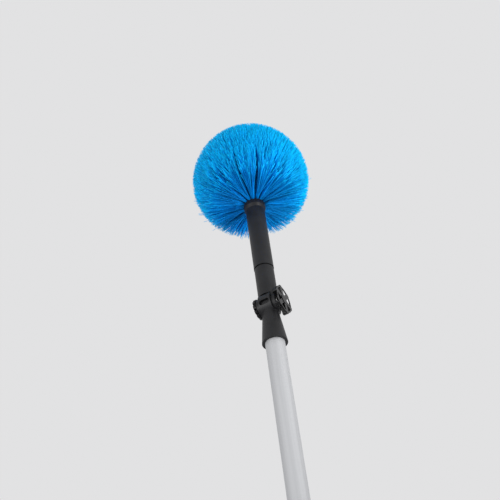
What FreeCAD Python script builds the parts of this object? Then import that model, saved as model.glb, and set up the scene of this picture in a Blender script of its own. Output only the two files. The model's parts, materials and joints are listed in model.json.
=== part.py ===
import FreeCAD, Part
import math
import os

# Cobweb brush on a telescopic pole, in millimetres.
# The pole runs along +Z from the end cap at the origin, and the joint's bolt lies along X.

vector = FreeCAD.Vector
along_x = vector(1, 0, 0)
along_y = vector(0, 1, 0)
along_z = vector(0, 0, 1)

# Clearances, and how far a cut passes the face that it opens
overrun = 2.0
press_gap = 0.05
turn_gap = 0.06
slide_gap = 0.1
free_gap = 0.3
swing_gap = 0.5

# Pole sections
inner_tube_od = 25.0
tube_wall = 1.0
tube_play = 0.5
outer_tube_length = 430.0
inner_tube_length = 390.0
exposed_length = 217.0
pin_radius = 1.6
pin_recess = 0.2

# End cap with its hanging eye
cap_plug_length = 25.0
cap_flange_height = 4.0
cap_flange_step = 1.5
cap_eye_height = 24.0
cap_eye_radius = 11.0
cap_eye_thickness = 12.0
hang_hole_radius = 4.0

# Hand grip, a sleeve of soft foam cut square at its ends
grip_lift = 1.0
grip_length = 140.0
grip_wall = 3.0

# Collet ferrule at the top of the outer tube, and the collar that tightens it
ferrule_length = 36.0
ferrule_wall = 2.0
ferrule_bare_height = 8.0
ferrule_lip_height = 3.0
collet_height = 12.0
collet_wall = 1.8
slit_width = 2.0
slit_count = 4
lock_collar_wall = 2.6
lock_collar_lip = 3.0
flute_count = 8
flute_radius = 2.4

# Bush at the bottom of the inner tube, and the wear ring that slides in the outer tube
bush_plug_length = 22.0
bush_flange_height = 3.0
ring_height = 6.0
ring_split = 2.0

# Plug in the pole's tip, with a stub that goes up into the joint
tip_plug_length = 34.0
tip_pin_drop = 8.0
tube_insertion = 12.0
stub_radius = 8.8
end_gap = 0.5
socket_floor = 4.0

# Lower half of the angle joint: a coned pole socket under a round tongue
mouth_drop = 59.5
skirt_wall = 3.9
barrel_radius = 11.1
barrel_drop = 16.0
tongue_radius = 16.0
tongue_width = 17.0

# Pockets cored in the front and back of the tongue, turned down from level
pocket_length = 14.5
pocket_height = 7.0
pocket_depth = 5.0
pocket_tilt = 12.0

# Upper half of the angle joint: a shoulder over a fork of two cheeks
cheek_radius = 12.5
cheek_thickness = 4.9
shoulder_radius = 13.05
shoulder_rise = 62.0
seam_height = 1.8
seam_depth = 1.4
spigot_radius = 11.0
spigot_length = 40.0

# Bolt, its ribbed cap and the washer
bolt_radius = 2.5
bolt_head_flats = 8.0
bolt_head_height = 3.2
cap_radius = 14.0
cap_thickness = 3.6
cap_crown_radius = 9.5
cap_crown_height = 1.4
rib_count = 12
rib_gap_width = 3.4
rib_gap_depth = 1.7
washer_thickness = 1.0
washer_radius = 8.0

# Star knob, whose lobes are tied by a thin hoop at the front, and its threaded insert
lobe_count = 6
lobe_reach = 20.5
lobe_width = 6.0
lobe_round = 1.5
knob_rest_turn = 15.0
knob_thickness = 6.5
knob_hub_radius = 6.2
knob_hub_step = 0.6
knob_hub_proud = 0.6
knob_face_wall = 1.5
hoop_radius = 19.0
hoop_width = 2.0
hoop_thickness = 1.2
insert_flats = 8.0
insert_length = 5.0

# Neck and the block that holds the tufts
neck_length = 109.5
neck_radius = 13.5
block_radius = 15.5
block_side_height = 8.5
block_slope_height = 5.0
block_spigot_length = 20.0

# Ball of bristle tufts, trimmed to one sphere
ball_rise = 64.0
ball_radius = 85.0
row_elevations = (19, 35, 50, 64, 77, 90)
row_counts = (16, 16, 16, 12, 7, 1)
tuft_sides = 6
tuft_root_share = 0.6
tuft_hole_gap = 0.15
tuft_hole_depth = 3.0
tuft_seat_gap = 0.2
tuft_fill_share = 0.43

# Radii that follow from the sizes above
inner_radius = inner_tube_od / 2
inner_bore = inner_radius - tube_wall
outer_bore = inner_radius + tube_play
outer_radius = outer_bore + tube_wall
guide_bore = inner_radius + slide_gap
ferrule_radius = outer_radius + press_gap + ferrule_wall
collet_radius = guide_bore + collet_wall
skirt_radius = inner_radius + skirt_wall
saddle_radius = tongue_radius + swing_gap

# Heights that follow from the sizes above
tube_foot = cap_eye_height + cap_flange_height
outer_tube_top = tube_foot + outer_tube_length
ferrule_bottom = outer_tube_top - ferrule_length
collar_bottom = ferrule_bottom + ferrule_bare_height
collet_foot = outer_tube_top + ferrule_lip_height
collet_top = collet_foot + collet_height
collar_lip_z = collet_top + free_gap
collar_top = collar_lip_z + lock_collar_lip
mouth_z = collar_top + exposed_length
tube_top = mouth_z + tube_insertion
tube_bottom = tube_top - inner_tube_length
tip_pin_z = tube_top - tip_pin_drop
hinge_z = mouth_z + mouth_drop
lower_flat_z = hinge_z - cheek_radius - swing_gap
fork_flat_z = hinge_z + barrel_radius + swing_gap
socket_top = lower_flat_z - socket_floor
seam_z = hinge_z + shoulder_rise
neck_top_z = seam_z + neck_length
block_centre = vector(0, 0, neck_top_z + block_side_height)
ball_centre = vector(0, 0, neck_top_z + ball_rise)
ring_top = tube_bottom - free_gap
ring_bottom = ring_top - ring_height
bush_bottom = ring_bottom - free_gap - bush_flange_height

# Places along the bolt, outwards from the middle of the tongue
tongue_face_x = tongue_width / 2
cheek_face_x = tongue_face_x + slide_gap
cheek_back_x = cheek_face_x + cheek_thickness
seat_x = cheek_back_x + slide_gap
knob_x = seat_x + washer_thickness
knob_length = knob_hub_step + knob_thickness + knob_hub_proud
bolt_end_x = knob_x + knob_length - knob_face_wall - end_gap


def turned(corners):
    """A solid turned about Z from a closed outline of radii and heights."""
    points = [vector(radius, 0, height) for radius, height in corners]
    outline = Part.Face(Part.makePolygon(points + points[:1]))
    return outline.revolve(vector(), along_z, 360)


def ring(outer, inner, bottom, top):
    """A plain tube or washer about Z."""
    return turned([(inner, bottom), (outer, bottom), (outer, top), (inner, top)])


def hex_bar(flats, length):
    """A six-sided bar standing on the XY plane."""
    corner_radius = flats / math.sqrt(3)
    turns = [math.radians(60 * side) for side in range(7)]
    corners = [vector(corner_radius * math.cos(turn), corner_radius * math.sin(turn), 0) for turn in turns]
    return Part.Face(Part.makePolygon(corners)).extrude(along_z * length)


def on_bolt(shape, x, side=1):
    """Lays a shape made about Z along the bolt, with its foot at x. Side -1 points it to -X."""
    laid = shape.copy()
    laid.rotate(vector(), along_y, 90 * side)
    laid.translate(vector(x, 0, hinge_z))
    return laid


def bolt_bar(radius, x_low, x_high):
    """A round bar along the bolt."""
    return Part.makeCylinder(radius, x_high - x_low, vector(x_low, 0, hinge_z), along_x)


def block_between(x_low, x_high, z_low, z_high):
    """A cutter as wide as the joint between two heights and two places along the bolt."""
    half_width = skirt_radius + overrun
    corner = vector(x_low, -half_width, z_low)
    return Part.makeBox(x_high - x_low, 2 * half_width, z_high - z_low, corner)


def cross_pin(radius, half_length, height):
    """A pin or pin hole across the pole, along Y."""
    return Part.makeCylinder(radius, 2 * half_length, vector(0, -half_length, height), along_y)


def tip_pin():
    """A pin whose ends stay just under the inner tube's surface."""
    half_length = math.sqrt(inner_radius ** 2 - pin_radius ** 2) - pin_recess
    return cross_pin(pin_radius, half_length, tip_pin_z)


def tip_pin_hole():
    return cross_pin(pin_radius + press_gap, inner_radius + overrun, tip_pin_z)


# Pole


def end_cap():
    """Plug with a flange, and a rounded tongue with the hanging hole."""
    plug_radius = outer_bore - press_gap
    flange_radius = outer_radius + cap_flange_step
    cap = turned([
        (0, cap_eye_height),
        (flange_radius, cap_eye_height),
        (flange_radius, tube_foot),
        (plug_radius, tube_foot),
        (plug_radius, tube_foot + cap_plug_length),
        (0, tube_foot + cap_plug_length),
    ])
    side_y = -cap_eye_thickness / 2
    eye = vector(0, side_y, cap_eye_radius)
    tongue = Part.makeCylinder(cap_eye_radius, cap_eye_thickness, eye, along_y)
    stem_height = cap_eye_height + cap_flange_height / 2 - cap_eye_radius
    stem_corner = vector(-cap_eye_radius, side_y, cap_eye_radius)
    stem = Part.makeBox(2 * cap_eye_radius, cap_eye_thickness, stem_height, stem_corner)
    hole = cross_pin(hang_hole_radius, cap_eye_thickness, cap_eye_radius)
    return cap.fuse([tongue, stem]).removeSplitter().cut(hole)


def outer_tube():
    return ring(outer_radius, outer_bore, tube_foot, outer_tube_top)


def hand_grip():
    bore = outer_radius + press_gap
    bottom = tube_foot + grip_lift
    return ring(bore + grip_wall, bore, bottom, bottom + grip_length)


def inner_tube():
    tube = ring(inner_radius, inner_bore, tube_bottom, tube_top)
    return tube.cut(tip_pin_hole())


def guide_bush():
    """Plug in the inner tube's bottom, with a flange that keeps the wear ring under the tube's end."""
    plug_radius = inner_bore - press_gap
    flange_radius = inner_radius - press_gap
    flange_z = bush_bottom + bush_flange_height
    plug_top = tube_bottom + bush_plug_length
    return turned([
        (0, bush_bottom),
        (flange_radius, bush_bottom),
        (flange_radius, flange_z),
        (plug_radius, flange_z),
        (plug_radius, plug_top),
        (0, plug_top),
    ])


def wear_ring():
    """Split ring on the bush, which slides in the outer tube while the bush turns in it."""
    radius = outer_bore - turn_gap
    band = ring(radius, inner_bore - press_gap + turn_gap, ring_bottom, ring_top)
    corner = vector(0, -ring_split / 2, ring_bottom)
    return band.cut(Part.makeBox(radius + overrun, ring_split, ring_height, corner))


# Collar lock


def lock_ferrule():
    """Ferrule on the outer tube's end, with slit collet fingers round the inner tube."""
    seat = outer_radius + press_gap
    ferrule = turned([
        (seat, ferrule_bottom),
        (ferrule_radius, ferrule_bottom),
        (ferrule_radius, collet_foot),
        (collet_radius, collet_foot),
        (collet_radius, collet_top),
        (guide_bore, collet_top),
        (guide_bore, outer_tube_top),
        (seat, outer_tube_top),
    ])
    slits = []
    for index in range(slit_count):
        corner = vector(0, -slit_width / 2, collet_foot)
        slit = Part.makeBox(collet_radius + overrun, slit_width, collet_height, corner)
        slit.rotate(vector(), along_z, 360 * index / slit_count)
        slits.append(slit)
    return ferrule.cut(slits)


def lock_collar():
    """Fluted collar that screws down over the ferrule and closes the collet."""
    bore = ferrule_radius + turn_gap
    radius = bore + lock_collar_wall
    collar = turned([
        (bore, collar_bottom),
        (radius, collar_bottom),
        (radius, collar_top),
        (inner_radius + free_gap, collar_top),
        (inner_radius + free_gap, collar_lip_z),
        (bore, collar_lip_z),
    ])
    flutes = []
    for flute in range(flute_count):
        turn = 2 * math.pi * flute / flute_count
        distance = radius + flute_radius / 2
        place = vector(distance * math.cos(turn), distance * math.sin(turn), collar_bottom)
        flutes.append(Part.makeCylinder(flute_radius, collar_top - collar_bottom, place, along_z))
    return collar.cut(flutes)


# Angle joint


def tip_plug():
    """Plug in the pole's tip, with a stub that goes into the joint's socket."""
    plug_radius = inner_bore - press_gap
    stub_top = socket_top - end_gap
    plug = turned([
        (0, tube_top - tip_plug_length),
        (plug_radius, tube_top - tip_plug_length),
        (plug_radius, tube_top),
        (stub_radius, tube_top),
        (stub_radius, stub_top),
        (0, stub_top),
    ])
    return plug.cut(tip_pin_hole())


def pole_socket():
    """Coned sleeve that goes over the pole's tip, up to the joint's axis."""
    tube_seat = inner_radius + press_gap
    stub_bore = stub_radius + press_gap
    step_z = tube_top + end_gap
    return turned([
        (tube_seat, mouth_z),
        (skirt_radius, mouth_z),
        (barrel_radius, hinge_z - barrel_drop),
        (barrel_radius, hinge_z),
        (0, hinge_z),
        (0, socket_top),
        (stub_bore, socket_top),
        (stub_bore, step_z),
        (tube_seat, step_z),
    ])


def front_pocket():
    """A slot cutter with round ends into the front of the tongue, along the bolt."""
    start_y = -tongue_radius - overrun
    reach = pocket_depth + overrun
    half_straight = (pocket_length - pocket_height) / 2
    corner = vector(-half_straight, start_y, hinge_z - pocket_height / 2)
    slot = Part.makeBox(2 * half_straight, reach, pocket_height, corner)
    ends = []
    for end_x in (-half_straight, half_straight):
        centre = vector(end_x, start_y, hinge_z)
        ends.append(Part.makeCylinder(pocket_height / 2, reach, centre, along_y))
    return slot.fuse(ends).removeSplitter()


def tongue_pockets():
    """The pockets in the front and back of the tongue."""
    pockets = []
    for angle in (pocket_tilt, 180 - pocket_tilt):
        pocket = front_pocket()
        pocket.rotate(vector(0, 0, hinge_z), along_x, angle)
        pockets.append(pocket)
    return pockets


def lower_knuckle():
    """Pole socket with a round tongue, cut away on both sides of it for the fork to swing."""
    tongue = bolt_bar(tongue_radius, -tongue_face_x, tongue_face_x)
    beyond = skirt_radius + overrun
    rooms = [
        block_between(-beyond, -tongue_face_x, lower_flat_z, hinge_z + overrun),
        block_between(tongue_face_x, beyond, lower_flat_z, hinge_z + overrun),
    ]
    knuckle = pole_socket().cut(rooms).fuse(tongue).removeSplitter()
    hole = bolt_bar(bolt_radius + press_gap, -beyond, beyond)
    return knuckle.cut([hole] + tongue_pockets())


def upper_knuckle():
    """Shoulder with a fork of two round cheeks below it and a spigot above it for the neck."""
    groove_radius = shoulder_radius - seam_depth
    body = turned([
        (0, hinge_z),
        (shoulder_radius, hinge_z),
        (shoulder_radius, seam_z - seam_height),
        (groove_radius, seam_z - seam_height),
        (groove_radius, seam_z),
        (spigot_radius, seam_z),
        (spigot_radius, seam_z + spigot_length),
        (0, seam_z + spigot_length),
    ])
    saddle = bolt_bar(saddle_radius, -cheek_face_x, cheek_face_x)
    room = block_between(-cheek_face_x, cheek_face_x, hinge_z - overrun, fork_flat_z)
    cheeks = [
        bolt_bar(cheek_radius, -cheek_back_x, -cheek_face_x),
        bolt_bar(cheek_radius, cheek_face_x, cheek_back_x),
    ]
    knuckle = body.cut([saddle, room]).fuse(cheeks).removeSplitter()
    return knuckle.cut(bolt_bar(bolt_radius + turn_gap, -cheek_back_x - overrun, cheek_back_x + overrun))


def hinge_bolt():
    """Hex-headed bolt, with its head in the ribbed cap and its end in the knob."""
    head = on_bolt(hex_bar(bolt_head_flats, bolt_head_height), -seat_x, -1)
    return bolt_bar(bolt_radius, -seat_x, bolt_end_x).fuse(head).removeSplitter()


def rib_gap(turn):
    """A notch cutter in the rim of the bolt's cap."""
    deep = vector(cap_radius - rib_gap_depth, 0, -overrun)
    sides = [vector(cap_radius + rib_gap_depth, y, -overrun) for y in (-rib_gap_width, rib_gap_width)]
    notch = Part.Face(Part.makePolygon([deep] + sides + [deep]))
    gap = notch.extrude(along_z * (cap_thickness + 2 * overrun))
    gap.rotate(vector(), along_z, turn)
    return gap


def bolt_cap():
    """Round cap on the bolt's head, ribbed for the fingers and crowned in the middle."""
    crown_top = cap_thickness + cap_crown_height
    cap = turned([
        (0, 0),
        (cap_radius, 0),
        (cap_radius, cap_thickness),
        (cap_crown_radius, cap_thickness),
        (cap_crown_radius, crown_top),
        (0, crown_top),
    ])
    gaps = [rib_gap(360 * rib / rib_count) for rib in range(rib_count)]
    pocket = hex_bar(bolt_head_flats + 2 * press_gap, bolt_head_height + press_gap)
    return on_bolt(cap.cut(gaps + [pocket]), -seat_x, -1)


def knob_washer():
    washer = ring(washer_radius, bolt_radius + free_gap, 0, washer_thickness)
    return on_bolt(washer, seat_x)


def knob_lobe(turn):
    """A bar from the knob's middle to the end of one lobe, with its outer corners rounded."""
    bar = Part.makeBox(lobe_reach, lobe_width, knob_thickness, vector(0, -lobe_width / 2, 0))
    corners = [
        edge for edge in bar.Edges
        if edge.BoundBox.XMin > lobe_reach / 2 and edge.BoundBox.ZLength > knob_thickness / 2
    ]
    lobe = bar.makeFillet(lobe_round, corners)
    lobe.rotate(vector(), along_z, turn)
    return lobe


def star_knob():
    """Openwork hand knob: a hub, lobes like spokes, and a thin hoop that ties them at the front."""
    spokes = [knob_lobe(360 * lobe / lobe_count) for lobe in range(lobe_count)]
    hoop = ring(hoop_radius, hoop_radius - hoop_width, knob_thickness - hoop_thickness, knob_thickness)
    star = hoop.fuse(spokes)
    star.translate(vector(0, 0, knob_hub_step))
    knob = Part.makeCylinder(knob_hub_radius, knob_length).fuse(star).removeSplitter()
    knob.rotate(vector(), along_z, knob_rest_turn)
    insert_room = hex_bar(insert_flats + 2 * press_gap, insert_length)
    bore = Part.makeCylinder(bolt_radius + free_gap, knob_length - knob_face_wall)
    return on_bolt(knob.cut([insert_room, bore]), knob_x)


def knob_insert():
    """Threaded hex insert moulded into the knob's back."""
    bar = hex_bar(insert_flats, insert_length)
    return on_bolt(bar.cut(Part.makeCylinder(bolt_radius + turn_gap, insert_length)), knob_x)


# Brush head


def brush_neck():
    """Straight hollow neck over the joint's spigot, with the block's spigot in its top."""
    return ring(neck_radius, spigot_radius + press_gap, seam_z, neck_top_z)


def row_headings(row):
    """Direction and sideways direction of each tuft in a row. Every second row is staggered."""
    lean = math.radians(row_elevations[row])
    count = row_counts[row]
    headings = []
    for index in range(count):
        turn = 2 * math.pi * (index + (row % 2) / 2) / count
        outward = vector(math.cos(turn), math.sin(turn), 0)
        sideways = vector(-math.sin(turn), math.cos(turn), 0)
        headings.append((outward * math.cos(lean) + along_z * math.sin(lean), sideways))
    return headings


def block_blank():
    """Collar on a spigot, with a round top of flats that each face along one tuft."""
    spigot_bottom = neck_top_z - block_spigot_length
    blank = turned([
        (0, spigot_bottom),
        (spigot_radius, spigot_bottom),
        (spigot_radius, neck_top_z),
        (neck_radius, neck_top_z),
        (block_radius, neck_top_z + block_slope_height),
        (block_radius, block_centre.z + block_radius),
        (0, block_centre.z + block_radius),
    ])
    for row in range(len(row_counts) - 1):
        for heading, sideways in row_headings(row):
            flat = block_centre + heading * block_radius
            blank = blank.cut(Part.makeCylinder(2 * block_radius, block_radius, flat, heading))
    return blank


def brush_block():
    """Block that carries the tufts, drilled for each of them."""
    holes = []
    for row in range(len(row_counts)):
        for heading, sideways in row_headings(row):
            floor = block_centre + heading * (block_radius - tuft_hole_depth)
            corners = section(floor, heading, sideways, hole_half_sizes(row))
            mouth = Part.Face(Part.makePolygon(corners + corners[:1]))
            holes.append(mouth.extrude(heading * (tuft_hole_depth + overrun)))
    return block_blank().cut(holes)


def section(centre, heading, sideways, half_sizes):
    """Corners of a many-sided section square to a tuft, from its half-width and half-height."""
    upward = heading.cross(sideways)
    corners = []
    for side in range(tuft_sides):
        turn = 2 * math.pi * side / tuft_sides
        across = sideways * (half_sizes[0] * math.cos(turn))
        corners.append(centre + across + upward * (half_sizes[1] * math.sin(turn)))
    return corners


def on_ball(start, end):
    """Where the line from start through end leaves the ball."""
    heading = (end - start).normalize()
    offset = start - ball_centre
    along = offset.dot(heading)
    reach = math.sqrt(along ** 2 - offset.dot(offset) + ball_radius ** 2) - along
    return start + heading * reach


def tip_centre(heading):
    """The middle of a tuft's trimmed end."""
    return on_ball(block_centre, block_centre + heading)


def tip_half_sizes(row):
    """Half-width and half-height of a row's tufts at the ball, from the room around them."""
    tips = [tip_centre(row_headings(other)[0][0]) for other in range(len(row_counts))]
    spots = [(math.hypot(tip.x, tip.y), tip.z) for tip in tips]
    rows_beside = [other for other in (row - 1, row + 1) if 0 <= other < len(spots)]
    between_rows = min(math.dist(spots[row], spots[other]) for other in rows_beside)
    along_row = 2 * math.pi * spots[row][0] / row_counts[row]
    half_height = tuft_fill_share * between_rows
    half_width = tuft_fill_share * along_row if row_counts[row] > 1 else half_height
    return half_width, half_height


def root_half_sizes(row):
    """A tuft's foot has its end's proportions, so that its sides are flat."""
    reach = tip_centre(row_headings(row)[0][0]).distanceToPoint(block_centre)
    return [tuft_root_share * size * block_radius / reach for size in tip_half_sizes(row)]


def tuft_foot(heading):
    """The middle of a tuft's foot, just above the floor of its hole."""
    return block_centre + heading * (block_radius - tuft_hole_depth + tuft_seat_gap)


def hole_half_sizes(row):
    """A hole is as wide as its tuft at the block's face, and a gap more."""
    heading = row_headings(row)[0][0]
    length = tip_centre(heading).distanceToPoint(tuft_foot(heading))
    sizes = []
    for root, tip in zip(root_half_sizes(row), tip_half_sizes(row)):
        sizes.append(root + (tip - root) * tuft_hole_depth / length + tuft_hole_gap)
    return sizes


def tuft(row, heading, sideways):
    """A tuft that fans out from its hole to an end trimmed on the ball."""
    centre = tip_centre(heading)
    root = section(tuft_foot(heading), heading, sideways, root_half_sizes(row))
    spread = section(centre, heading, sideways, tip_half_sizes(row))
    tip = [on_ball(start, end) for start, end in zip(root, spread)]
    outlines = [root + root[:1]]
    for side in range(tuft_sides):
        outlines.append([root[side - 1], root[side], tip[side], tip[side - 1], root[side - 1]])
        outlines.append([tip[side - 1], tip[side], centre, tip[side - 1]])
    faces = [Part.Face(Part.makePolygon(outline)) for outline in outlines]
    return Part.makeSolid(Part.makeShell(faces))


def tuft_row(row):
    """One ring of tufts, each a solid of its own."""
    return Part.makeCompound([tuft(row, heading, sideways) for heading, sideways in row_headings(row)])


def nodes():
    """Every piece of the brush by name."""
    pieces = {
        "end_cap": end_cap(),
        "outer_tube": outer_tube(),
        "hand_grip": hand_grip(),
        "lock_ferrule": lock_ferrule(),
        "lock_collar": lock_collar(),
        "inner_tube": inner_tube(),
        "guide_bush": guide_bush(),
        "wear_ring": wear_ring(),
        "tip_plug": tip_plug(),
        "tip_pin": tip_pin(),
        "lower_knuckle": lower_knuckle(),
        "upper_knuckle": upper_knuckle(),
        "hinge_bolt": hinge_bolt(),
        "bolt_cap": bolt_cap(),
        "knob_washer": knob_washer(),
        "star_knob": star_knob(),
        "knob_insert": knob_insert(),
        "brush_neck": brush_neck(),
        "brush_block": brush_block(),
    }
    for row in range(len(row_counts)):
        pieces[f"tuft_row_{row + 1}"] = tuft_row(row)
    return pieces


os.makedirs("parts", exist_ok=True)
for name, shape in nodes().items():
    shape.exportStep(f"parts/{name}.step")
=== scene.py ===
import bpy
import json
import math
import numpy as np
from mathutils import Matrix, Vector


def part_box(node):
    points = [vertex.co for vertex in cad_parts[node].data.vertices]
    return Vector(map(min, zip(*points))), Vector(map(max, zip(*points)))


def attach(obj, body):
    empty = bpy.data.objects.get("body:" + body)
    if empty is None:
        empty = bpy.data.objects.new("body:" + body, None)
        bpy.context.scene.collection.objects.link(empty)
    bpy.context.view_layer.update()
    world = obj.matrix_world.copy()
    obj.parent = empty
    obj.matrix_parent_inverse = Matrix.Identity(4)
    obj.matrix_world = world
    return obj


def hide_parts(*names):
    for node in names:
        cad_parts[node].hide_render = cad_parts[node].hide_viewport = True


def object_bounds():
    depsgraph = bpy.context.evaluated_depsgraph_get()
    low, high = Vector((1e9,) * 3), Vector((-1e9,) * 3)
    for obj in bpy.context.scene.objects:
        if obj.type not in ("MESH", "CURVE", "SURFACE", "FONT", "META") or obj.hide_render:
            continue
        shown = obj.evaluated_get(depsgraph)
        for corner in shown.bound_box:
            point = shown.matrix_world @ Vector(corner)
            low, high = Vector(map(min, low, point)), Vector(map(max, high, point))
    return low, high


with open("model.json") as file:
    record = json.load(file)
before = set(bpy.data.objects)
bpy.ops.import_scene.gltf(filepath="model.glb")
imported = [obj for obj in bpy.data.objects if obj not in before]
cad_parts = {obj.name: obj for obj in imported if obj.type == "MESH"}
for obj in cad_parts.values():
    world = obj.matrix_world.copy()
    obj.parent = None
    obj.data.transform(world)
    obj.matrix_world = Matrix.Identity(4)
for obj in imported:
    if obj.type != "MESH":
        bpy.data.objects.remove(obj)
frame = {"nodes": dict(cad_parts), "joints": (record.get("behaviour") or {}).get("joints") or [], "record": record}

cad_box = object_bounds()
nodes = frame["nodes"]
joints = {joint["name"]: joint for joint in frame["joints"]}

# Ball and block, in metres and degrees, with the rows and holes of the CAD tufts
ball_radius = 0.085
row_elevations = (19, 35, 50, 64, 77, 90)
row_counts = (16, 16, 16, 12, 7, 1)
row_total = len(row_counts)
block_radius = 0.0155
hole_depth = 0.0026

# Ends of the strands: the lowest row reaches down the ball, crowds upward and has a hanging fringe
lowest_polar = -27.0
lowest_skew = 0.4
lowest_gather = 0.945
fringe_share = 0.5
fringe_drop = 23.0
fringe_power = 1.25
trim_scatter = 0.0014
trim_short_limit = 3.0
wisp_share = 0.02
wisp_reach = 0.007
random_seed = 7

# Strands: the spacing of their ends in each row, their bundle in a hole, their fan and their wave
row_spacings = (0.00185, 0.0020, 0.0020, 0.0018, 0.0014, 0.0010)
bundle_radius = 0.0018
strand_radius = 0.0004
strand_tip_share = 0.75
strand_sides = 3
strand_rings = 6
fan_power = 1.2
wave_height = 0.0003
wave_turns = 1.5
near_vertical = 0.9

# Tints: strands in one lock share a tint at the root and fade to their own
lock_count = 90
lowest_lock_fade = 0.45

# Foam grip
grip_rounding = 0.0018
grip_bore_gap = 0.00005
grip_dip = 0.00025
grip_dip_lobes = 3
grip_dip_waves = 90.0
grip_swell_waves = 47.0
grip_segments = 96
grip_rings = 60
grip_arc_steps = 6

# Tones of a surface: the noise values where dark ends and light starts, and the blue of a black
tone_start = 0.3
tone_end = 0.7
black_blue_share = 1.12

# Camera, from the pole's vanishing point and its width in the picture
camera_from_hinge = Vector((0.3229, -0.7380, -0.6273))
camera_forward = Vector((-0.310, 0.674, 0.670))
camera_up = Vector((0.402, -0.546, 0.735))
camera_lens = 56.9
camera_sensor = 36.0

# Studio: a lamp's offset goes from its target along the camera's right, up and back
floor_half_size = 6.0
floor_colour = (0.72, 0.72, 0.73, 1.0)
floor_roughness = 0.8
background_colour = (0.76, 0.76, 0.7676, 1.0)
world_colour = (0.97, 0.98, 1.0, 1.0)
world_level = 0.88
lamp_spread = 70.0
key_energy = 1.6
key_size = 0.9
key_offset = Vector((1.0, 0.9, 0.9))
front_energy = 1.5
front_size = 0.5
front_offset = Vector((0.8, -0.2, 0.8))
fill_energy = 1.5
fill_size = 0.7
fill_offset = Vector((-0.9, 0.3, 0.9))


def add_object(name, data):
    """A new object in the scene."""
    item = bpy.data.objects.new(name, data)
    bpy.context.scene.collection.objects.link(item)
    return item


# Materials


def new_material(name, metallic=0.0):
    """A material, its node tree and its shader."""
    material = bpy.data.materials.new(name)
    material.use_nodes = True
    tree = material.node_tree
    shader = tree.nodes["Principled BSDF"]
    shader.inputs["Metallic"].default_value = metallic
    return material, tree, shader


def place_in_part(tree):
    """Coordinates in the part's own frame, in metres."""
    return tree.nodes.new("ShaderNodeTexCoord").outputs["Object"]


def stretched(tree, coordinates, scale):
    """Coordinates scaled along each axis."""
    mapping = tree.nodes.new("ShaderNodeMapping")
    mapping.inputs["Scale"].default_value = scale
    tree.links.new(coordinates, mapping.inputs["Vector"])
    return mapping.outputs["Vector"]


def noise(tree, coordinates, scale, detail=3.0):
    """A noise value between 0 and 1."""
    texture = tree.nodes.new("ShaderNodeTexNoise")
    texture.inputs["Scale"].default_value = scale
    texture.inputs["Detail"].default_value = detail
    tree.links.new(coordinates, texture.inputs["Vector"])
    return texture.outputs["Fac"]


def ramp(tree, value, stops):
    """A colour by value, from stops of a position and a colour."""
    node = tree.nodes.new("ShaderNodeValToRGB")
    elements = node.color_ramp.elements
    while len(elements) < len(stops):
        elements.new(position=0.5)
    for element, (position, colour) in zip(elements, stops):
        element.position = position
        element.color = (*colour, 1.0)
    tree.links.new(value, node.inputs["Fac"])
    return node.outputs["Color"]


def spread(tree, value, low, high):
    """A value of 0 to 1 taken to a range."""
    node = tree.nodes.new("ShaderNodeMapRange")
    node.inputs["To Min"].default_value = low
    node.inputs["To Max"].default_value = high
    tree.links.new(value, node.inputs["Value"])
    return node.outputs["Result"]


def bump(tree, shader, height, distance, strength):
    """Relief of a height value on the shader's normal."""
    node = tree.nodes.new("ShaderNodeBump")
    node.inputs["Strength"].default_value = strength
    node.inputs["Distance"].default_value = distance
    tree.links.new(height, node.inputs["Height"])
    tree.links.new(node.outputs["Normal"], shader.inputs["Normal"])


def two_tones(tree, shader, value, dark, light):
    """Base colour between two tones by a noise value."""
    colour = ramp(tree, value, [(tone_start, dark), (tone_end, light)])
    tree.links.new(colour, shader.inputs["Base Color"])


def uneven_roughness(tree, shader, value, smooth, rough):
    """Roughness between two levels by a noise value."""
    tree.links.new(spread(tree, value, smooth, rough), shader.inputs["Roughness"])


def cool_black(level):
    """A dark grey with a slight cast of blue."""
    return level, level, level * black_blue_share


def moulded_plastic(name, dark, light, smooth, rough, gloss):
    """Moulding with a fine spark-eroded grain and slightly uneven grey and gloss."""
    material, tree, shader = new_material(name)
    shader.inputs["Specular IOR Level"].default_value = gloss
    place = place_in_part(tree)
    grain = noise(tree, place, scale=1800.0, detail=2.0)
    patches = noise(tree, place, scale=60.0)
    two_tones(tree, shader, patches, cool_black(dark), cool_black(light))
    uneven_roughness(tree, shader, patches, smooth, rough)
    bump(tree, shader, grain, distance=0.00012, strength=0.5)
    return material


def black_plastic():
    """Charcoal moulding of the neck, the knuckles and the pole's fittings."""
    return moulded_plastic(
        "black_plastic", dark=0.006, light=0.010, smooth=0.38, rough=0.56, gloss=0.3,
    )


def glossy_plastic():
    """Darker, smoother moulding of the knob and the bolt's cap."""
    return moulded_plastic(
        "glossy_plastic", dark=0.0015, light=0.0030, smooth=0.22, rough=0.36, gloss=0.22,
    )


def anodised_aluminium():
    """Matte silver tube with fine drawing lines along the pole."""
    material, tree, shader = new_material("anodised_aluminium", metallic=1.0)
    along_pole = stretched(tree, place_in_part(tree), (900.0, 900.0, 6.0))
    lines = noise(tree, along_pole, scale=1.0, detail=4.0)
    two_tones(tree, shader, lines, dark=(0.51, 0.515, 0.525), light=(0.57, 0.575, 0.585))
    uneven_roughness(tree, shader, lines, smooth=0.66, rough=0.8)
    bump(tree, shader, lines, distance=0.00004, strength=0.3)
    return material


def plated_steel():
    """Zinc-plated steel with fine turning marks."""
    material, tree, shader = new_material("plated_steel", metallic=1.0)
    along_bolt = stretched(tree, place_in_part(tree), (3500.0, 300.0, 300.0))
    marks = noise(tree, along_bolt, scale=1.0)
    two_tones(tree, shader, marks, dark=(0.50, 0.50, 0.49), light=(0.63, 0.63, 0.62))
    uneven_roughness(tree, shader, marks, smooth=0.28, rough=0.45)
    bump(tree, shader, marks, distance=0.00006, strength=0.5)
    return material


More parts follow.
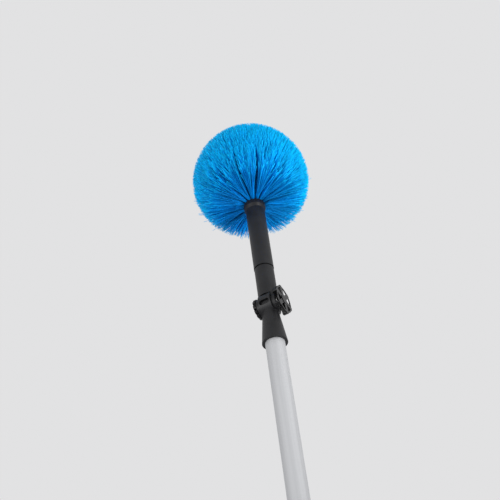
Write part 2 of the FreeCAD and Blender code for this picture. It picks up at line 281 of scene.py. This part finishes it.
def plain_brass():
    """Machined brass with slight tarnish."""
    material, tree, shader = new_material("plain_brass", metallic=1.0)
    shader.inputs["Roughness"].default_value = 0.35
    tarnish = noise(tree, place_in_part(tree), scale=400.0)
    two_tones(tree, shader, tarnish, dark=(0.45, 0.31, 0.11), light=(0.66, 0.50, 0.22))
    return material


def grip_foam():
    """Dense black foam with open pores."""
    material, tree, shader = new_material("grip_foam")
    place = place_in_part(tree)
    cells = tree.nodes.new("ShaderNodeTexVoronoi")
    cells.inputs["Scale"].default_value = 700.0
    tree.links.new(place, cells.inputs["Vector"])
    patches = noise(tree, place, scale=90.0)
    two_tones(tree, shader, patches, dark=(0.018, 0.018, 0.020), light=(0.030, 0.030, 0.032))
    uneven_roughness(tree, shader, patches, smooth=0.78, rough=0.95)
    bump(tree, shader, cells.outputs["Distance"], distance=0.0006, strength=0.8)
    return material


def bristle_plastic():
    """Blue bristles with painted light: painted shade darkens each strand to deep blue toward the root, and a
    painted highlight brightens the trimmed tip to cyan; each strand a little different.
    """
    material, tree, shader = new_material("bristle_plastic")
    shader.inputs["Roughness"].default_value = 0.5
    shader.inputs["Specular IOR Level"].default_value = 0.06
    along = tree.nodes.new("ShaderNodeAttribute")
    along.attribute_name = "along"
    tint = tree.nodes.new("ShaderNodeAttribute")
    tint.attribute_name = "tint"
    # Painted shade and highlight: the colour darkens along each strand toward the root and brightens to cyan at
    # the tip.
    painted_shade_and_highlight = ramp(tree, along.outputs["Fac"], [
        (0.0, (0.0006, 0.22, 0.66)),
        (0.5, (0.0006, 0.27, 0.75)),
        (0.88, (0.0008, 0.34, 0.82)),
        (1.0, (0.0012, 0.50, 0.93)),
    ])
    value = tree.nodes.new("ShaderNodeHueSaturation")
    tree.links.new(painted_shade_and_highlight, value.inputs["Color"])
    tree.links.new(spread(tree, tint.outputs["Fac"], low=0.62, high=1.28), value.inputs["Value"])
    tree.links.new(value.outputs["Color"], shader.inputs["Base Color"])
    return material


slot_materials = {
    "black_plastic": black_plastic(),
    "aluminium": anodised_aluminium(),
    "steel": plated_steel(),
    "brass": plain_brass(),
    "grip_foam": grip_foam(),
}
for subpart in frame["record"]["subparts"]:
    material = slot_materials.get(subpart["material_slot"])
    if material:
        nodes[subpart["node"]].data.materials.clear()
        nodes[subpart["node"]].data.materials.append(material)
hardware_plastic = glossy_plastic()
for node in ("star_knob", "bolt_cap"):
    nodes[node].data.materials[0] = hardware_plastic


# Bristles

ball_top = max(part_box(f"tuft_row_{row + 1}")[1].z for row in range(row_total))
ball_centre = np.array((0.0, 0.0, ball_top - ball_radius))
tuft_origin = np.array((0.0, 0.0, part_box("brush_block")[1].z - block_radius))
random = np.random.default_rng(random_seed)


def reach_to_ball(start, heading):
    """Distance from a start along its unit heading to the ball."""
    offset = start - ball_centre
    along = (offset * heading).sum(-1)
    return np.sqrt(along ** 2 - (offset ** 2).sum(-1) + ball_radius ** 2) - along


def row_polar(row):
    """Polar angle at which a row's tufts meet the ball."""
    lean = math.radians(row_elevations[row])
    heading = np.array((math.cos(lean), 0.0, math.sin(lean)))
    tip = tuft_origin + heading * reach_to_ball(tuft_origin, heading)
    return math.atan2(tip[2] - ball_centre[2], tip[0])


polar_angles = [row_polar(row) for row in range(row_total)]


def row_band(row):
    """Lowest and highest polar angle that a row's ends cover, halfway to the rows beside it."""
    above = polar_angles[row + 1] if row + 1 < row_total else math.pi / 2
    high = (above + polar_angles[row]) / 2
    low = (polar_angles[row - 1] + polar_angles[row]) / 2 if row else math.radians(lowest_polar)
    return low, high


def strand_ends(row):
    """Random directions of a row's ends from the ball's centre, with each strand's and tuft's turn."""
    low, high = row_band(row)
    area = math.tau * ball_radius ** 2 * (math.sin(high) - math.sin(low))
    count = int(area / row_spacings[row] ** 2)
    share = random.random(count) ** (1.0 if row else lowest_skew)
    polar = np.arcsin(math.sin(low) + (math.sin(high) - math.sin(low)) * share)
    if row == 0:
        hanging = random.random(count) < fringe_share
        polar[hanging] -= math.radians(fringe_drop) * random.random(hanging.sum()) ** fringe_power
    turn = random.uniform(0.0, math.tau, count)
    step = math.tau / row_counts[row]
    stagger = step * (row % 2) / 2
    tuft_turn = np.round((turn - stagger) / step) * step + stagger
    if row == 0:
        turn = tuft_turn + (turn - tuft_turn) * lowest_gather
    radial = np.stack((np.cos(polar) * np.cos(turn), np.cos(polar) * np.sin(turn), np.sin(polar)), 1)
    return radial, turn, tuft_turn


def strand_tips(row, radial):
    """Trimmed tips of a row's strands, close to the ball, with stray ones in the lowest row."""
    count = len(radial)
    scatter = random.normal(0.0, trim_scatter, count)
    reach = ball_radius + scatter.clip(-trim_short_limit * trim_scatter, trim_scatter)
    wisps = random.random(count) < (0.0 if row else wisp_share)
    reach[wisps] += random.uniform(0.0, wisp_reach, wisps.sum())
    return ball_centre + radial * reach[:, None]


def perpendicular(headings):
    """Two unit vectors square to each heading and to each other."""
    slanted = np.abs(headings[:, 2:]) < near_vertical
    helper = np.where(slanted, (0.0, 0.0, 1.0), (1.0, 0.0, 0.0))
    first = np.cross(headings, helper)
    first /= np.linalg.norm(first, axis=1, keepdims=True)
    return first, np.cross(headings, first)


def strand_roots(headings, first, second):
    """Random places of the strands in their tufts' holes."""
    count = len(headings)
    spin = random.uniform(0.0, math.tau, count)[:, None]
    offset = bundle_radius * np.sqrt(random.random(count))[:, None]
    bottoms = tuft_origin + headings * (block_radius - hole_depth)
    return bottoms + offset * (first * np.cos(spin) + second * np.sin(spin))


def strand_tints(turn, fade):
    """Tints along each strand, 0 to 1: its lock's at the root, its own by the fade at the tip."""
    locks = random.random(lock_count)
    own = random.random((len(turn), 1))
    lock = (turn / math.tau * lock_count).astype(int) % lock_count
    shares = np.linspace(0.0, fade, strand_rings)
    return locks[lock][:, None] * (1.0 - shares) + own * shares


def strand_paths(row):
    """Points and tints along a row's strands: together in the hole, then fanned out to the ball."""
    radial, turn, tuft_turn = strand_ends(row)
    tips = strand_tips(row, radial)
    count = len(tips)
    lean = math.radians(row_elevations[row])
    headings = np.stack((
        math.cos(lean) * np.cos(tuft_turn),
        math.cos(lean) * np.sin(tuft_turn),
        np.full(count, math.sin(lean)),
    ), 1)
    first, second = perpendicular(headings)
    roots = strand_roots(headings, first, second)
    run = ((tips - roots) * headings).sum(1, keepdims=True)
    aside = tips - roots - headings * run
    phase = random.uniform(0.0, math.tau, (count, 2))
    paths = []
    for share in np.linspace(0.0, 1.0, strand_rings):
        wave = wave_height * share * np.sin(wave_turns * math.tau * share + phase)
        paths.append(
            roots + headings * run * share + aside * share ** fan_power
            + first * wave[:, :1] + second * wave[:, 1:]
        )
    return np.stack(paths, 1), strand_tints(turn, 1.0 if row else lowest_lock_fade)


def strand_mesh(name, paths, tints):
    """One mesh of thin tapered strands, with how far along and which tint each point is."""
    count = len(paths)
    chord = paths[:, -1] - paths[:, 0]
    chord /= np.linalg.norm(chord, axis=1, keepdims=True)
    first, second = perpendicular(chord)
    shares = np.linspace(0.0, 1.0, strand_rings)
    radii = strand_radius * (1.0 - (1.0 - strand_tip_share) * shares)
    turns = math.tau * np.arange(strand_sides) / strand_sides
    around = first[:, None] * np.cos(turns)[:, None] + second[:, None] * np.sin(turns)[:, None]
    points = paths[:, :, None] + around[:, None] * radii[:, None, None]
    per_strand = strand_rings * strand_sides
    quads = []
    for ring in range(strand_rings - 1):
        low = ring * strand_sides
        high = low + strand_sides
        for side in range(strand_sides):
            after = (side + 1) % strand_sides
            quads.append((low + side, low + after, high + after, high + side))
    starts = np.arange(count) * per_strand
    quads = (starts[:, None, None] + np.array(quads)).reshape(-1, 4)
    tip_caps = starts[:, None] + per_strand - strand_sides + np.arange(strand_sides)
    root_caps = starts[:, None] + np.arange(strand_sides)[::-1]
    caps = np.concatenate((tip_caps, root_caps))
    mesh = bpy.data.meshes.new(name)
    mesh.from_pydata(points.reshape(-1, 3).tolist(), [], quads.tolist() + caps.tolist())
    mesh.polygons.foreach_set("use_smooth", [True] * len(quads) + [False] * len(caps))
    along = mesh.attributes.new("along", "FLOAT", "POINT")
    along.data.foreach_set("value", np.tile(np.repeat(shares, strand_sides), count).astype(np.float32))
    tint = mesh.attributes.new("tint", "FLOAT", "POINT")
    tint.data.foreach_set("value", np.repeat(tints.ravel(), strand_sides).astype(np.float32))
    mesh.update()
    return mesh


bristles = bristle_plastic()
for row in range(row_total):
    name = f"bristles_{row + 1}"
    mesh = strand_mesh(name, *strand_paths(row))
    mesh.materials.append(bristles)
    piece = add_object(name, mesh)
    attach(piece, "head")
    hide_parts(f"tuft_row_{row + 1}")


# Grip


def rounded_end(radius, height, start):
    """Quarter circle of the grip's rounding, as radii and heights about a centre from a start angle."""
    leans = [start + math.pi / 2 * step / grip_arc_steps for step in range(grip_arc_steps + 1)]
    return [
        (radius + grip_rounding * math.cos(lean), height + grip_rounding * math.sin(lean))
        for lean in leans
    ]


def grip_profile(inner, outer, bottom, top):
    """Radii and heights round a sleeve's wall: lower end, face, upper end and bore."""
    low = bottom + grip_rounding
    high = top - grip_rounding
    face = [(outer, low + (high - low) * ring / grip_rings) for ring in range(1, grip_rings)]
    lower_end = rounded_end(outer - grip_rounding, low, -math.pi / 2)
    upper_end = rounded_end(outer - grip_rounding, high, 0.0)
    return lower_end + face + upper_end + [(inner, top), (inner, bottom)]


def grip_dip_at(turn, height):
    """How far the foam's face lies under its full radius there, between 0 and the deepest dip."""
    lobes = math.sin(grip_dip_lobes * turn + grip_dip_waves * height)
    return grip_dip * (1.0 + lobes * math.sin(grip_swell_waves * height)) / 2


def grip_sleeve():
    """Foam sleeve with rounded ends and a slightly uneven face, closed all round."""
    low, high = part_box("hand_grip")
    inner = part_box("outer_tube")[1].x + grip_bore_gap
    profile = grip_profile(inner, high.x, low.z, high.z)
    points = []
    for segment in range(grip_segments):
        turn = math.tau * segment / grip_segments
        for radius, height in profile:
            dipped = radius - (grip_dip_at(turn, height) if radius > inner else 0.0)
            points.append((dipped * math.cos(turn), dipped * math.sin(turn), height))
    count = len(profile)
    quads = []
    for segment in range(grip_segments):
        here = segment * count
        there = (segment + 1) % grip_segments * count
        for place in range(count):
            after = (place + 1) % count
            quads.append((here + place, there + place, there + after, here + after))
    mesh = bpy.data.meshes.new("grip_sleeve")
    mesh.from_pydata(points, [], quads)
    mesh.polygons.foreach_set("use_smooth", [True] * len(quads))
    mesh.materials.append(slot_materials["grip_foam"])
    mesh.update()
    return add_object("grip_sleeve", mesh)


sleeve = grip_sleeve()
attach(sleeve, "pole_base")
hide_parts("hand_grip")


# Stage


def pale_floor():
    """A large pale floor that keeps the object's shadow."""
    mesh = bpy.data.meshes.new("floor")
    half = floor_half_size
    level = cad_box[0].z
    corners = [(-half, -half, level), (half, -half, level), (half, half, level), (-half, half, level)]
    mesh.from_pydata(corners, [], [(0, 1, 2, 3)])
    material, _, shader = new_material("floor")
    shader.inputs["Base Color"].default_value = floor_colour
    shader.inputs["Roughness"].default_value = floor_roughness
    mesh.materials.append(material)
    add_object("floor", mesh)


def studio_world():
    """Even soft light, and a plain pale background for camera, glossy and transmission rays."""
    world = bpy.data.worlds.new("studio")
    bpy.context.scene.world = world
    world.use_nodes = True
    tree = world.node_tree
    light = tree.nodes["Background"]
    light.inputs["Color"].default_value = world_colour
    light.inputs["Strength"].default_value = world_level
    shown = tree.nodes.new("ShaderNodeBackground")
    shown.inputs["Color"].default_value = background_colour
    rays = tree.nodes.new("ShaderNodeLightPath")
    seen = rays.outputs["Is Camera Ray"]
    for kind in ("Is Glossy Ray", "Is Transmission Ray"):
        either = tree.nodes.new("ShaderNodeMath")
        either.operation = "MAXIMUM"
        tree.links.new(seen, either.inputs[0])
        tree.links.new(rays.outputs[kind], either.inputs[1])
        seen = either.outputs["Value"]
    mix = tree.nodes.new("ShaderNodeMixShader")
    tree.links.new(seen, mix.inputs["Fac"])
    tree.links.new(light.outputs["Background"], mix.inputs[1])
    tree.links.new(shown.outputs["Background"], mix.inputs[2])
    tree.links.new(mix.outputs["Shader"], tree.nodes["World Output"].inputs["Surface"])


def soft_lamp(name, energy, size, target, offset):
    """A square area lamp that faces its target from an offset."""
    data = bpy.data.lights.new(name, "AREA")
    data.energy = energy
    data.size = size
    data.spread = math.radians(lamp_spread)
    lamp = add_object(name, data)
    lamp.location = target + offset
    lamp.rotation_mode = "QUATERNION"
    lamp.rotation_quaternion = (-offset).to_track_quat("-Z", "Y")


def photo_camera(hinge):
    """The photograph's camera, placed from the joint's axis. Returns its turn."""
    data = bpy.data.cameras.new("camera")
    data.sensor_fit = "HORIZONTAL"
    data.sensor_width = camera_sensor
    data.lens = camera_lens
    back = -camera_forward.normalized()
    right = camera_up.cross(back).normalized()
    up = back.cross(right)
    turn = Matrix((right, up, back)).transposed()
    camera = add_object("camera", data)
    camera.matrix_world = Matrix.Translation(hinge + camera_from_hinge) @ turn.to_4x4()
    bpy.context.scene.camera = camera
    return turn


bpy.context.scene.view_settings.view_transform = "Standard"
hinge = Vector(joints["head_tilt"]["pos_m"])
ball = Vector(ball_centre)
pale_floor()
studio_world()
camera_turn = photo_camera(hinge)
soft_lamp("key", key_energy, key_size, ball, camera_turn @ key_offset)
soft_lamp("front", front_energy, front_size, ball, camera_turn @ front_offset)
soft_lamp("fill", fill_energy, fill_size, hinge, camera_turn @ fill_offset)
